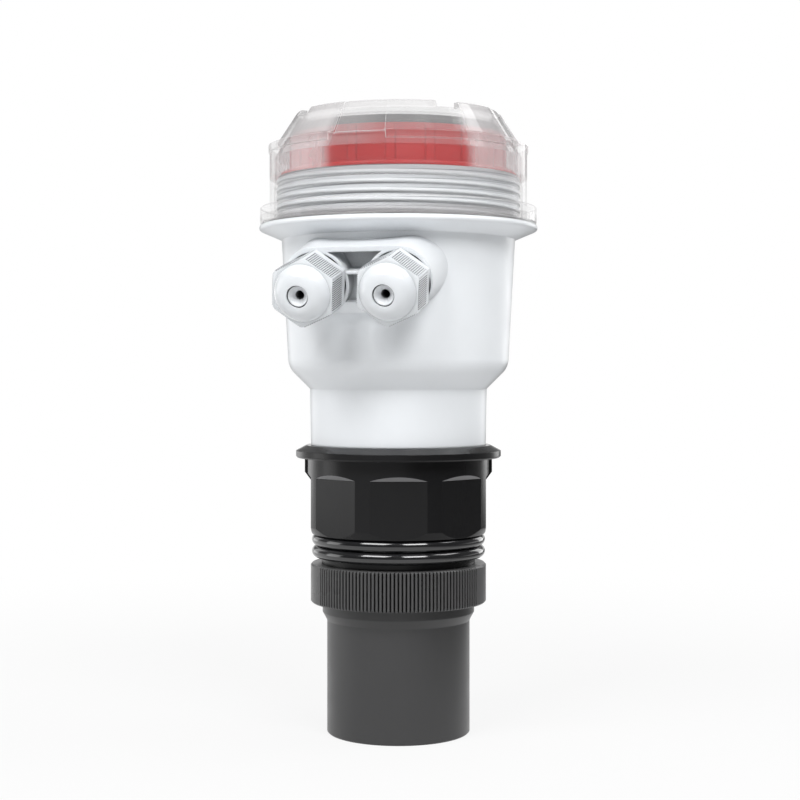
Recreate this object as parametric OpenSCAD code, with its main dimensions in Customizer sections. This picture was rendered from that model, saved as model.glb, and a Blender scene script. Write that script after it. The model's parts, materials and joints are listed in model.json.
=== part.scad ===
// Ultrasonic liquid level transmitter. The origin is the centre of the sensing face
// at the bottom of the tube. +Z is up and -Y is the side of the cable glands.

/* [Sensor tube] */
// Radius of the tube that looks into the tank
tube_r = 23.6; // [22.5:0.1:24]
// Height of the straight part of the tube
tube_h = 37; // [30:0.5:45]
// Wall of the tube
tube_wall = 2.2; // [1.8:0.1:2.6]
// Thickness of the closed sensing face
face_t = 2; // [1.5:0.1:3]
// Height of the flare above the straight part
flare_h = 2.8; // [2:0.1:4]
// Distance by which the stop collar stands proud of the tube
collar_over = 1.5; // [1.3:0.05:1.6]
// Height of the stop collar that shows below the knurled ring
collar_h = 3.2; // [2.5:0.1:5]
// Distance by which the threaded shank stands proud of the tube
shank_over = 0.7; // [0.4:0.05:0.75]

/* [Knurled ring] */
// Wall of the knurled ring outside the shank
ring_wall = 4.7; // [4.2:0.1:6.2]
// Height of the knurled ring
ring_h = 12.75; // [11:0.25:15]
// Pitch of the ring's thread
ring_pitch = 1.5; // [1:0.25:1.5]
// Angle of one knurl ridge and its groove
knurl_step = 2.5; // [2.5:0.5:5]
// Half angle of each knurled sector, front and back
knurl_half = 60; // [40:5:75]
// Depth of the knurl grooves
knurl_depth = 0.55; // [0.3:0.05:0.8]

/* [Seals] */
// Section diameter of the two process O-rings
oring_d = 3.9; // [3.5:0.1:4.2]
// Gap between the shank and the two process O-rings
oring_gap = 0.45; // [0.35:0.05:0.6]
// Distance from the shank to the outside of the backing washer
washer_over = 1.05; // [0.9:0.05:1.7]
// Height of the backing washer
washer_h = 2; // [1.4:0.1:2.6]

/* [Connection body] */
// Wall of the black connection body outside the shank
conn_wall = 5.7; // [5.2:0.1:6.2]
// Depth of each wrench flat at its middle
flat_depth = 1.43; // [0.9:0.01:1.9]
// Number of wrench flats
conn_flats = 8; // [6:1:10]
// Height from the bottom edge of the body to the top of the flats
flat_h = 18.7; // [17:0.1:21]
// Height of the bottom chamfer
conn_chamfer_h = 2.4; // [1.5:0.1:3]
// Radial depth of the bottom chamfer
conn_chamfer_r = 1.4; // [1:0.1:2]
// Height from the bottom edge to the underside of the plate
conn_h = 25; // [24:0.25:28]
// Distance by which the plate stands proud of the body
plate_over = 3.9; // [3.2:0.1:6.5]
// Thickness of the plate at its rim
plate_rim = 2.3; // [2:0.1:4]
// Height of the cone on top of the plate
plate_cone = 1.8; // [1:0.1:3]
// Radial depth of the cone on top of the plate
plate_slope = 3.4; // [2.7:0.1:4.2]
// Depth to which the sensor tube enters the body
tube_entry = 18; // [14:0.5:18]
// Width of each side rib under the plate
rib_w = 6; // [4:0.5:8]
// Distance by which a side rib stands proud
rib_proud = 1; // [0.6:0.1:1.5]

/* [Housing] */
// Step between the top of the plate's cone and the neck
neck_step = 1.55; // [1:0.05:2.5]
// Height of the neck up to the body's chamfer
neck_h = 18.5; // [15:0.5:24]
// Radius that the neck gains by draft
neck_draft = 0.3; // [0:0.05:0.5]
// Step between the neck and the glued spigot below it
spigot_step = 3.55; // [2.95:0.05:3.95]
// Length of the glued spigot
spigot_h = 8; // [6:0.5:8.5]
// Distance by which the foot of the housing stands proud of the neck
body_over = 7.55; // [7.05:0.05:9.05]
// Radius that the housing gains by draft up to the flange
body_draft = 2.1; // [1.5:0.1:3]
// Height of the chamfer between neck and body
body_chamfer = 5.6; // [4:0.2:7]
// Radius of the rounding between the chamfer and the body
body_round = 7; // [3:0.5:8]
// Height from the top of the chamfer to the flange
body_h = 43.5; // [42:0.5:50]
// Wall of the housing
wall = 3; // [2.4:0.1:3.2]
// Distance by which the flange stands proud of the housing
flange_over = 7.4; // [6.9:0.1:9.4]
// Height of the flange's sloped underside
flange_cone = 2.8; // [2:0.1:4]
// Thickness of the flange's rim
flange_t = 2.1; // [1.8:0.1:3]
// Step from the housing under the flange out to the root of the cover thread
thread_over = 1.3; // [1.1:0.05:1.5]
// Depth of the cover thread on the housing
thread_depth = 1; // [0.8:0.05:1.1]
// Height of the threaded collar above the flange
thread_h = 15.7; // [14:0.5:18]
// Wall of the threaded collar down to its root
thread_wall = 3.7; // [3.4:0.1:3.9]

/* [Clear cover] */
// Step from the rim of the flange in to the cover's bottom ring
cover_step = 0.25; // [0:0.05:1.25]
// Height of the bottom ring
cover_ring_h = 5.7; // [4.5:0.1:7]
// Wall of the cover outside the thread's crest
cover_wall = 1.7; // [1.5:0.1:2.6]
// Height from the flange to the cover's shoulder
cover_wall_h = 26; // [25.5:0.5:30]
// Width of the step at the cover's shoulder
shoulder_in = 2.6; // [2.1:0.1:3]
// Radius that the cone loses up to the rim
cone_in = 6.1; // [5:0.1:7]
// Height of the cone
cone_h = 10.6; // [10:0.2:14]
// Thickness of the window in the top
cover_t = 1.6; // [1.4:0.1:2.2]
// Wall of the cover's cone, measured level
cone_wall = 2.1; // [1.8:0.1:2.3]
// Depth of each grip recess, measured level
recess_depth = 0.9; // [0.5:0.1:1.2]
// Depth to which the pads between the recesses reach down the wall
pad_drop = 2.6; // [1:0.1:4]
// Distance by which the pads stand proud of the wall
pad_proud = 0.35; // [0.2:0.05:0.6]
// Angle across each grip recess in the cone
recess_deg = 24; // [14:1:36]
// Angle across each notch in the top rim
notch_deg = 13.5; // [8:0.5:20]
// Depth of each notch in the top rim
notch_h = 2.1; // [1:0.1:2.2]
// Section diameter of the seal under the cover
cover_seal_d = 1.8; // [1.4:0.1:2]

/* [Display module] */
// Gap between the red carrier and the inside of the cone
carrier_gap = 0.9; // [0.8:0.1:1.6]
// Height of the red carrier above its seat
carrier_h = 13.5; // [12.5:0.1:14]
// Step from the thread's root in to the carrier's seat flange
seat_in = 1.1; // [0.7:0.1:1.9]
// Thickness of the seat flange
seat_t = 1.5; // [1.2:0.1:2]
// Depth of the carrier's skirt inside the collar
skirt_h = 7; // [5:0.5:9]
// Wall of the carrier
carrier_wall = 2.2; // [1.6:0.1:2.4]
// Number of ribs around the carrier
carrier_ribs = 18; // [12:1:24]
// Width of each rib on the carrier
carrier_rib_w = 3; // [2:0.25:4]
// Distance by which a rib stands proud
carrier_rib_t = 0.5; // [0.3:0.1:0.8]
// Thickness of the grey face plate
plate_t = 2.8; // [2.4:0.1:3]
// Width of the display window
window_w = 44; // [36:1:46]
// Height of the display window on the face
window_l = 20; // [14:1:22]
// Distance of the window's centre from the axis
window_y = 7; // [5:0.5:9]
// Radius of each key
key_r = 3.2; // [2.5:0.1:4]
// Distance between keys
key_pitch = 15; // [12:0.5:16]
// Distance of the keys from the axis
key_y = 16; // [14:0.5:18]
// Travel of each key
key_travel = 1; // [0.6:0.1:1.2]
// Thickness of both circuit boards
board_t = 1.6; // [1:0.1:2]

/* [Electronics] */
// Gap between the main board and the housing's wall
main_gap = 4.1; // [3.9:0.1:4.5]
// Height of the main board above the top of the neck
main_lift = 17; // [14:0.5:20]
// Number of wire terminals
terminals = 6; // [4:1:7]
// Distance between wire terminals
terminal_pitch = 5; // [4.5:0.25:5.5]
// Radius of the lead from the transducer
lead_r = 1.6; // [1:0.1:2]
// Thickness of the soft sleeve round the piezo disc
sleeve_t = 4.4; // [2.9:0.1:7.4]
// Thickness of the piezo disc
piezo_t = 6; // [3:0.5:8]
// Thickness of the matching layer under the piezo disc
match_t = 4; // [2:0.5:5]
// Thickness of the damping block behind the piezo disc
damp_t = 10; // [6:0.5:14]

/* [Cable glands] */
// Turn of the gland axes away from the front
gland_yaw = 17.5; // [10:0.5:25]
// Downward slope of the gland axes
gland_pitch = 16.7; // [12:0.1:18]
// Distance between the two glands
gland_spacing = 27.2; // [26.5:0.1:29]
// Distance by which the face of the boss stands proud of the housing's foot
boss_proud = 5.6; // [5:0.1:7.5]
// Height of the gland axes at the boss, above the top of the neck
boss_lift = 33; // [32:0.25:34]
// Rim of the boss outside the gland's hexagon
boss_rim = 1.1; // [0.9:0.1:1.5]
// Wall around the pocket between the glands
boss_wall = 1.8; // [1.4:0.1:2.4]
// Hexagon of nut and gland body, across the flats
gland_af = 19; // [18:0.25:20]
// Roll of the hexagons about the gland axis
gland_roll = -7.3; // [-30:0.1:30]
// Step from the flats of the hexagon in to the gland's thread
gland_in = 1.5; // [1.3:0.1:2]
// Height of the gland body's hexagon
gland_hex_h = 2.8; // [2:0.1:4]
// Height of the nut's hexagon
nut_h = 9.3; // [8.5:0.1:11]
// Height of the nut's dome
dome_h = 4.5; // [4:0.1:5.5]
// Radius of the opening in the nut's dome
dome_hole_r = 3.45; // [3.2:0.05:4]
// Radius of the cable hole in the seal
cable_r = 1.4; // [1:0.1:2.2]

/* [Fit] */
// Gap between curved faces that move past each other
run_gap = 0.3; // [0.25:0.01:0.35]
// Gap between curved faces of pieces that are fixed together
fixed_gap = 0.1; // [0.05:0.01:0.15]

/* [Hidden] */
$fn = 96;
// A length by which a cut passes a face
cut = 1;
// A quarter turn
quarter = 90;

// Heights from the sensing face upwards
collar_z = tube_h + flare_h;
ring_z = collar_z + collar_h;
washer_z = ring_z + ring_h;
lower_seal_z = washer_z + washer_h + fixed_gap + oring_d / 2;
upper_seal_z = lower_seal_z + oring_d;
conn_z = upper_seal_z + oring_d / 2;
flat_top_z = conn_z + flat_h;
plate_z = conn_z + conn_h;
neck_z = plate_z + plate_rim + plate_cone;
chamfer_z = neck_z + neck_h;
body_z = chamfer_z + body_chamfer;
flange_z = body_z + body_h;
rim_z = flange_z + flange_cone;
thread_z = rim_z + flange_t;
seat_z = thread_z + thread_h;
face_z = seat_z + carrier_h;
cover_z = thread_z + 0.2;
shoulder_z = thread_z + cover_wall_h;
top_z = shoulder_z + cone_h;

// Radii, outwards from the tube
collar_r = tube_r + collar_over;
shank_r = tube_r + shank_over;
ring_r = shank_r + ring_wall;
oring_r = shank_r + oring_gap + oring_d;
washer_r = shank_r + washer_over;
conn_r = shank_r + conn_wall;
conn_flat = conn_r - flat_depth;
plate_r = conn_r + plate_over;
plate_top_r = plate_r - plate_slope;
neck_r = plate_top_r - neck_step;
spigot_r = neck_r - spigot_step;
body_r = neck_r + body_over;
body_top_r = body_r + body_draft;
flange_r = body_top_r + flange_over;
thread_root_r = body_top_r + thread_over;
thread_crest_r = thread_root_r + thread_depth;
cover_ring_r = flange_r - cover_step;
cover_r = thread_crest_r + cover_wall;
cone_foot_r = cover_r - shoulder_in;
cone_top_r = cone_foot_r - cone_in;
seat_r = thread_root_r - seat_in;
main_r = body_r - wall - main_gap;
boss_reach = body_r + boss_proud;
boss_r = gland_af / 2 + boss_rim;
gland_thread_r = gland_af / 2 - gland_in;

// Ring and shank: the ring's thread zone stops above the collar by its whole travel
ring_turns = 2;
ring_travel = ring_turns * ring_pitch;
ring_recess_h = ring_travel + 0.6;
ring_chamfer = 0.5;
shank_top_z = conn_z + tube_entry;
tube_bore_r = tube_r - tube_wall;
oring_centre_r = oring_r - oring_d / 2;
piezo_r = tube_bore_r - sleeve_t;

// Main board on its posts, and what stands on it
post_r = 3;
post_ring_r = main_r - 2.8;
post_angles = [60, 120, 240, 300];
main_z = chamfer_z + main_lift;
main_top_z = main_z + board_t;
neck_bore_r = neck_r - wall;
spigot_bore_r = spigot_r - wall;
screw_r = 1.25;
screw_head_r = 2.5;
screw_head_h = 1.6;
screw_l = 7;
terminal_h = 10;
terminal_d = 10;
terminal_y = -13;
terminal_screw_r = 1.5;
terminal_screw_l = 4;
terminal_pit = 5;
coil_w = 13;
coil_d = 12;
coil_h = 9;
coil_x = -15;
coil_y = 3;
bobbin_w = 9;
bobbin_d = 15;
bobbin_h = 5;
bobbin_lift = 2;
cap_r = 4;
cap_h = 12;
cap_x = 13;
cap_y = 2;
cap_step = 9;
chip_w = 10;
chip_d = 5;
chip_t = 1.6;
chip_y = 23;
logic_w = 7;
logic_t = 1.2;
logic_x = 14;
logic_y = 12;
plug_h = 6;
socket_w = 18;
socket_d = 5;
socket_h = 6;
ribbon_w = 15;
ribbon_t = 0.9;
ribbon_y = 15;
ribbon_bow = 3;

// Display module
column_r = 3;
column_ring_r = body_r - wall - 3.1;
column_web = 2.4;
column_angles = [90, 210, 330];
column_h = 24;
carrier_floor_t = 2;
floor_z = seat_z - skirt_h;
cone_step = 0.8;
cone_z = shoulder_z + cone_step;
cone_slope = cone_in / (cone_h - cone_step);
carrier_r = cone_foot_r - cone_wall - cone_slope * (face_z - cone_z) - carrier_gap;
carrier_bore_r = carrier_r - carrier_wall;
skirt_r = thread_root_r - thread_wall - run_gap;
display_r = carrier_bore_r - run_gap;
display_drop = 6.6;
display_z = face_z - display_drop;
display_top_z = display_z + board_t;
stud_r = 2.6;
stud_ring_r = carrier_bore_r - 4.8;
stud_angles = [8, 172, 270];
lcd_margin = 3;
window_t = 1.6;
window_ledge = 1.5;
key_rise = 0.5;
key_flange_r = key_r + 1;
key_flange_t = 0.8;
key_gap = 0.15;
switch_w = 6;
switch_h = 1.2;
switch_stem_r = 1.6;
switch_stem_h = 0.5;
key_foot_z = display_top_z + switch_h + switch_stem_h + key_travel + 0.1;

// Cover
cover_bore_r = thread_crest_r + run_gap;
cover_inner_r = thread_crest_r;
window_under_z = top_z - notch_h - cover_t;
recess_first = -18;
notch_first = recess_first + 45;
cover_seal_r = (thread_root_r + cover_ring_r) / 2;

// Glands, along each axis from the face of the boss
boss_z = chamfer_z + boss_lift;
boss_rise = 1;
boss_depth = 24;
boss_draft = 0.06;
counterbore_r = boss_r - 0.7;
washer_t = 1.5;
web_v = 2.7;
web_t = 1;
hex_r = gland_af / 2 / cos(30);
gland_bore_r = gland_thread_r - 2.7;
gland_shank_l = 11;
collet_h = 2.2;
nut_z = gland_hex_h + run_gap;
nut_top = nut_z + nut_h;
dome_top = nut_top + dome_h;
dome_r = gland_af / 2 - 0.4;
dome_drop = 1.1;
nut_thread_r = gland_thread_r - 0.1;
nut_body_top = nut_top - 2.6;
collet_top = nut_body_top + collet_h;
seal_r = gland_bore_r - run_gap;
seal_foot = 4.5;
seal_neck = dome_top - 2.7;
seal_top = dome_top - 0.6;
seal_shoulder = 1.2;
seal_funnel = 2;
seal_lip = 0.3;

function arc(cx, cz, r, from, to, n = 6) =
    [for (i = [0:n]) let (a = from + (to - from) * i / n) [cx + r * cos(a), cz + r * sin(a)]];

// A tube along Z
module ring(r_out, r_in, h) {
    difference() {
        cylinder(r = r_out, h = h);
        translate([0, 0, -cut]) cylinder(r = r_in, h = h + 2 * cut);
    }
}

// An O-ring in the XY plane
module o_ring(centre_r, d) {
    rotate_extrude() translate([centre_r, 0]) circle(d = d, $fn = 48);
}

// A block centred on the axis, standing on the plane
module block(w, d, h) {
    translate([-w / 2, -d / 2, 0]) cube([w, d, h]);
}

// Copies at the given angles on a circle
module around(radius, angles) {
    for (a = angles) rotate([0, 0, a]) translate([radius, 0, 0]) children();
}

// A screw whose head stands on z = 0 and whose shank points down
module screw(shank_l) {
    difference() {
        cylinder(r = screw_head_r, h = screw_head_h);
        translate([0, 0, screw_head_h - 0.8]) block(2 * screw_head_r + cut, 0.7, cut);
    }
    translate([0, 0, -shank_l]) cylinder(r = screw_r, h = shank_l + screw_head_h / 2);
}

// The frame of one gland: +Z points out along its axis, +Y up the face of the boss
module gland_frame(side = 0) {
    rotate([0, 0, -gland_yaw])
        translate([0, -boss_reach, boss_z])
            rotate([quarter + gland_pitch, 0, 0])
                translate([side * gland_spacing / 2, 0, 0]) children();
}

// Sensing tube with its sealed face, stop collar and threaded shank
module sensor_tube() {
    edge = 0.4;
    color("#3f3f41") rotate_extrude() polygon(concat(
        [[0, 0], [tube_r - edge, 0], [tube_r, edge], [tube_r, tube_h], [collar_r, collar_z],
            [collar_r, ring_z - fixed_gap], [shank_r, ring_z - fixed_gap],
            [shank_r, shank_top_z - edge], [shank_r - edge, shank_top_z]],
        [[tube_bore_r, shank_top_z], [tube_bore_r, face_t], [0, face_t]]));
}

module matching_layer() {
    color("burlywood") translate([0, 0, face_t]) cylinder(r = piezo_r, h = match_t);
}

module piezo_disc() {
    color("dimgray") translate([0, 0, face_t + match_t]) cylinder(r = piezo_r, h = piezo_t);
}

module damping_block() {
    color("darkslategray") translate([0, 0, face_t + match_t + piezo_t])
        cylinder(r = piezo_r, h = damp_t);
}

// Soft sleeve that keeps the transducer's ringing out of the tube
module isolation_sleeve() {
    color("tan") translate([0, 0, face_t])
        ring(tube_bore_r - fixed_gap, piezo_r + fixed_gap, match_t + piezo_t + damp_t);
}

potting_z = face_t + match_t + piezo_t + damp_t;
potting_h = ring_z + ring_h - potting_z;
bead_r = 1.2;
bead_h = 7;
bead_y = 15;

// Resin above the transducer, moulded round the lead and the temperature bead
module potting() {
    color("black") difference() {
        translate([0, 0, potting_z]) cylinder(r = tube_bore_r - fixed_gap, h = potting_h);
        translate([0, 0, potting_z - cut]) cylinder(r = lead_r + fixed_gap, h = potting_h + 2 * cut);
        translate([0, bead_y, potting_z - cut])
            cylinder(r = bead_r + fixed_gap, h = bead_h + fixed_gap + cut);
    }
}

module temperature_sensor() {
    color("sienna") translate([0, bead_y, potting_z]) cylinder(r = bead_r, h = bead_h);
}

// Screened lead from the transducer up to the plug under the main board
module sensor_lead() {
    color("gray") translate([0, 0, potting_z])
        cylinder(r = lead_r, h = main_z - plug_h - potting_z);
}

// Outline of the knurl grooves, seen from above
module knurl_grooves() {
    half_w = ring_r * sin(knurl_step / 4);
    count = floor(knurl_half / knurl_step);
    for (face = [-quarter, quarter], i = [-count:count])
        rotate(face + i * knurl_step)
            polygon([[ring_r + knurl_depth, -2 * half_w], [ring_r + knurl_depth, 2 * half_w],
                [ring_r - knurl_depth, 0]]);
}

// Clamping ring: knurled front and back, and plain at the sides
module knurled_ring() {
    thread_r = shank_r + run_gap;
    recess_r = collar_r + run_gap;
    recess_z = ring_z + ring_recess_h;
    color("#2b2b2d") difference() {
        rotate_extrude() polygon([[recess_r, ring_z], [ring_r - ring_chamfer, ring_z],
            [ring_r, ring_z + ring_chamfer], [ring_r, washer_z - ring_chamfer],
            [ring_r - ring_chamfer, washer_z], [thread_r, washer_z],
            [thread_r, recess_z], [recess_r, recess_z]]);
        translate([0, 0, ring_z - cut]) linear_extrude(ring_h + 2 * cut) knurl_grooves();
    }
}

module backing_washer() {
    color("#1c1c1e") translate([0, 0, washer_z]) ring(washer_r, shank_r + run_gap, washer_h);
}

module lower_o_ring() {
    color("#101012") translate([0, 0, lower_seal_z]) o_ring(oring_centre_r, oring_d);
}

module upper_o_ring() {
    color("#101012") translate([0, 0, upper_seal_z]) o_ring(oring_centre_r, oring_d);
}

// Black body: wrench flats below, a coned plate on top and a rib on each side
module connection_body() {
    edge = 0.5;
    far = 2 * conn_r;
    tube_socket_r = shank_r + fixed_gap;
    neck_socket_r = spigot_r + fixed_gap;
    neck_socket_z = neck_z - spigot_h - fixed_gap;
    rib_reach = conn_r + rib_proud;
    rib_foot_z = plate_z - 5;
    color("#242426") {
        difference() {
            rotate_extrude() polygon([[tube_socket_r, conn_z], [conn_r - conn_chamfer_r, conn_z],
                [conn_r, conn_z + conn_chamfer_h], [conn_r, plate_z],
                [plate_r - edge, plate_z], [plate_r, plate_z + edge],
                [plate_r, plate_z + plate_rim], [plate_top_r, neck_z],
                [neck_socket_r, neck_z], [neck_socket_r, neck_socket_z],
                [tube_bore_r, neck_socket_z], [tube_bore_r, shank_top_z],
                [tube_socket_r, shank_top_z]]);
            for (i = [0:conn_flats - 1])
                rotate([0, 0, i * 360 / conn_flats - quarter])
                    rotate([quarter, 0, 0])
                        linear_extrude(2 * conn_r, center = true)
                            polygon([[conn_flat, conn_z - cut], [far, conn_z - cut],
                                [far, flat_top_z + far - conn_flat], [conn_flat, flat_top_z]]);
        }
        for (side = [0, 1])
            rotate([0, 0, side * 180 + (side == 0 ? 8 : -8)])
                rotate([quarter, 0, 0])
                    linear_extrude(rib_w, center = true)
                        polygon([[conn_r - cut, plate_z + cut / 2],
                            [rib_reach, plate_z + cut / 2], [rib_reach, rib_foot_z],
                            [conn_r - cut, rib_foot_z - 1.3 * (rib_proud + cut)]]);
    }
}

// Outside of the housing as a solid of revolution
module housing_outside() {
    edge = 1;
    round_r = body_r - body_round * (1 - cos(45));
    round_z = chamfer_z + round_r - neck_r - neck_draft + body_round * sin(45);
    lip = 0.4;
    rotate_extrude() polygon(concat(
        [[0, neck_z - spigot_h], [spigot_r, neck_z - spigot_h], [spigot_r, neck_z],
            [neck_r, neck_z], [neck_r + neck_draft, chamfer_z]],
        arc(body_r - body_round, round_z, body_round, -45, 0),
        [[body_top_r, flange_z]],
        arc(flange_r - edge, rim_z + edge, edge, -70, 0),
        arc(flange_r - edge, thread_z - edge, edge, 0, quarter),
        [[thread_root_r, thread_z], [thread_root_r, seat_z - lip],
            [thread_root_r - lip, seat_z], [0, seat_z]]));
}

// Space inside the housing
module housing_cavity() {
    floor_r = body_r - wall;
    mouth_r = thread_root_r - thread_wall;
    rotate_extrude() polygon([[0, neck_z - spigot_h - cut], [spigot_bore_r, neck_z - spigot_h - cut],
        [spigot_bore_r, neck_z + wall / 2], [neck_bore_r, neck_z + wall],
        [neck_bore_r, chamfer_z + wall / 2], [floor_r, body_z + wall / 2],
        [body_top_r - wall, flange_z], [mouth_r, rim_z], [mouth_r, seat_z + cut],
        [0, seat_z + cut]]);
}

// Moulded boss that carries both glands, with a little draft
module gland_boss() {
    foot_r = boss_r + boss_draft * boss_depth;
    difference() {
        gland_frame() translate([0, boss_rise, -boss_depth]) {
            for (side = [-1, 1])
                translate([side * gland_spacing / 2, 0, 0])
                    cylinder(r1 = foot_r, r2 = boss_r, h = boss_depth);
            rotate([quarter, 0, quarter])
                linear_extrude(gland_spacing, center = true)
                    polygon([[-foot_r, 0], [foot_r, 0], [boss_r, boss_depth], [-boss_r, boss_depth]]);
        }
        boss_pocket();
    }
}

// Pocket between the glands, split by a web and closed by the housing's wall
module boss_pocket() {
    inner_r = boss_r - boss_wall;
    foot_v = 6.1;
    gland_frame() translate([0, 0, -boss_depth / 2]) linear_extrude(boss_depth / 2 + cut)
        difference() {
            translate([-gland_spacing / 2, boss_rise - inner_r])
                square([gland_spacing, 2 * inner_r]);
            for (side = [-1, 1])
                translate([side * gland_spacing / 2, 0]) circle(r = counterbore_r + 1);
            translate([-gland_spacing / 2, web_v]) square([gland_spacing, web_t]);
            translate([-gland_spacing / 2, -boss_r]) square([gland_spacing, boss_r - foot_v]);
        }
}

// White housing: neck, body, flange, threaded collar and gland boss in one moulding
module housing() {
    hole_l = boss_depth + 2 * cut;
    column_z = floor_z - column_h;
    color("#e8ecf0") {
        difference() {
            union() {
                housing_outside();
                gland_boss();
            }
            housing_cavity();
            for (side = [-1, 1]) gland_frame(side) {
                translate([0, 0, cut - hole_l])
                    cylinder(r = gland_thread_r + fixed_gap, h = hole_l);
                translate([0, 0, -washer_t]) cylinder(r = counterbore_r, h = washer_t + cut);
            }
            translate([0, 0, thread_z]) o_ring(cover_seal_r, cover_seal_d + 2 * fixed_gap);
        }
        difference() {
            around(post_ring_r, post_angles)
                translate([0, 0, chamfer_z + wall]) cylinder(r = post_r, h = main_lift - wall);
            around(post_ring_r, post_angles)
                translate([0, 0, main_z - screw_l - fixed_gap])
                    cylinder(r = screw_r + fixed_gap, h = screw_l + cut);
        }
        difference() {
            around(column_ring_r, column_angles) translate([0, 0, column_z]) {
                cylinder(r = column_r, h = column_h);
                translate([0, -column_web / 2, 0])
                    cube([body_r - column_ring_r, column_web, column_h]);
            }
            around(column_ring_r, column_angles)
                translate([0, 0, floor_z - screw_l - fixed_gap])
                    cylinder(r = screw_r + fixed_gap, h = screw_l + cut);
        }
    }
}

module cover_seal() {
    color("silver") translate([0, 0, thread_z]) o_ring(cover_seal_r, cover_seal_d);
}

// Part of a ring between two angles from the front, with the given section
module sector(from, to) {
    rotate([0, 0, from - quarter]) rotate_extrude(angle = to - from) children();
}

// Clear screw cover: bottom ring, wall, coned top with grip recesses and a notched rim
module clear_cover() {
    edge = 0.4;
    rim_w = 2.4;
    recess_z = shoulder_z - 0.3;
    pad_edge = 0.7;
    pad_deg = quarter - recess_deg - 2 * pad_edge;
    reach = 2 * cover_r;
    inner_top_r = cone_foot_r - cone_wall - cone_slope * (window_under_z - cone_z);
    inner_foot_z = cone_z - (cover_inner_r + cone_wall - cone_foot_r) / cone_slope;
    color([0.93, 0.9, 0.9, 0.35]) difference() {
        union() {
            rotate_extrude() polygon([
                [cover_bore_r, cover_z], [cover_ring_r - edge, cover_z],
                [cover_ring_r, cover_z + edge], [cover_ring_r, thread_z + cover_ring_h - edge],
                [cover_ring_r - edge, thread_z + cover_ring_h], [cover_r, thread_z + cover_ring_h],
                [cover_r, shoulder_z], [cone_foot_r, cone_z],
                [cone_top_r, top_z - edge], [cone_top_r - edge, top_z],
                [cone_top_r - rim_w, top_z], [cone_top_r - rim_w, top_z - notch_h],
                [0, top_z - notch_h], [0, window_under_z], [inner_top_r, window_under_z],
                [cover_inner_r, inner_foot_z], [cover_inner_r, seat_z - 3], [cover_bore_r, seat_z - 3.4]]);
            for (i = [0:3]) {
                from = recess_first + recess_deg / 2 + pad_edge + quarter * i;
                sector(from, from + pad_deg)
                    polygon([[cover_r - cut, shoulder_z - pad_drop],
                        [cover_r, shoulder_z - pad_drop],
                        [cover_r + pad_proud, shoulder_z - pad_drop + pad_proud],
                        [cover_r + pad_proud, shoulder_z], [cone_foot_r, cone_z],
                        [cone_foot_r - cut, cone_z - cut]]);
            }
        }
        for (i = [0:3]) {
            centre = recess_first + quarter * i;
            sector(centre - recess_deg / 2, centre + recess_deg / 2)
                polygon([[cone_foot_r - recess_depth + cone_slope * (cone_z - recess_z), recess_z],
                    [reach, recess_z], [reach, top_z + cut],
                    [cone_top_r - recess_depth - cone_slope * cut, top_z + cut]]);
            notch = notch_first + quarter * i;
            sector(notch - notch_deg / 2, notch + notch_deg / 2)
                polygon([[cone_top_r - rim_w - cut, top_z - notch_h], [reach, top_z - notch_h],
                    [reach, top_z + cut], [cone_top_r - rim_w - cut, top_z + cut]]);
        }
        translate([0, 0, thread_z]) o_ring(cover_seal_r, cover_seal_d + 2 * fixed_gap);
    }
}

// Red carrier: ribbed wall, seat flange, skirt and a floor with studs for the board
module display_carrier() {
    lip = 0.4;
    color("#c4302c") difference() {
        union() {
            rotate_extrude() polygon([[0, floor_z], [skirt_r, floor_z], [skirt_r, seat_z],
                [seat_r, seat_z], [seat_r, seat_z + seat_t - lip],
                [seat_r - lip, seat_z + seat_t], [carrier_r, seat_z + seat_t],
                [carrier_r, face_z], [carrier_bore_r, face_z],
                [carrier_bore_r, floor_z + carrier_floor_t], [0, floor_z + carrier_floor_t]]);
            for (i = [0:carrier_ribs - 1])
                rotate([0, 0, i * 360 / carrier_ribs - quarter - 4])
                    translate([carrier_r - cut, -carrier_rib_w / 2, seat_z + seat_t / 2])
                        cube([cut + carrier_rib_t, carrier_rib_w, carrier_h - seat_t / 2 - lip]);
            around(stud_ring_r, stud_angles)
                translate([0, 0, floor_z]) cylinder(r = stud_r, h = display_z - floor_z);
        }
        around(stud_ring_r, stud_angles)
            translate([0, 0, display_z - screw_l - fixed_gap])
                cylinder(r = screw_r + fixed_gap, h = screw_l + cut);
        around(column_ring_r, column_angles)
            translate([0, 0, floor_z - cut])
                cylinder(r = screw_r + run_gap, h = carrier_floor_t + 2 * cut);
        translate([0, ribbon_y, floor_z - cut])
            block(ribbon_w + 4, 2 * ribbon_bow + 3, carrier_floor_t + 2 * cut);
    }
}

// Grey face plate with its window opening and key holes
module face_plate() {
    edge = 1;
    bevel = 0.5 + run_gap + cone_slope * (plate_t - edge);
    color("#9aa3a3") difference() {
        rotate_extrude() polygon([[0, face_z], [carrier_r - run_gap, face_z],
            [carrier_r - run_gap, face_z + edge], [carrier_r - bevel, face_z + plate_t],
            [0, face_z + plate_t]]);
        translate([0, window_y, face_z - cut]) block(window_w, window_l, plate_t + 2 * cut);
        translate([0, window_y, face_z + plate_t - window_t])
            block(window_w + 2 * window_ledge, window_l + 2 * window_ledge, window_t + cut);
        for (i = [-1:1]) translate([i * key_pitch, -key_y, face_z - cut])
            cylinder(r = key_r + key_gap, h = plate_t + 2 * cut);
    }
}

module display_window() {
    side = 2 * (window_ledge - fixed_gap);
    color([0.75, 0.8, 0.82, 0.5])
        translate([0, window_y, face_z + plate_t - window_t])
            block(window_w + side, window_l + side, window_t);
}

module lcd_panel() {
    color("#5f6f5a") translate([0, window_y, display_top_z])
        block(window_w + lcd_margin, window_l + lcd_margin, face_z - display_top_z);
}

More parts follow.
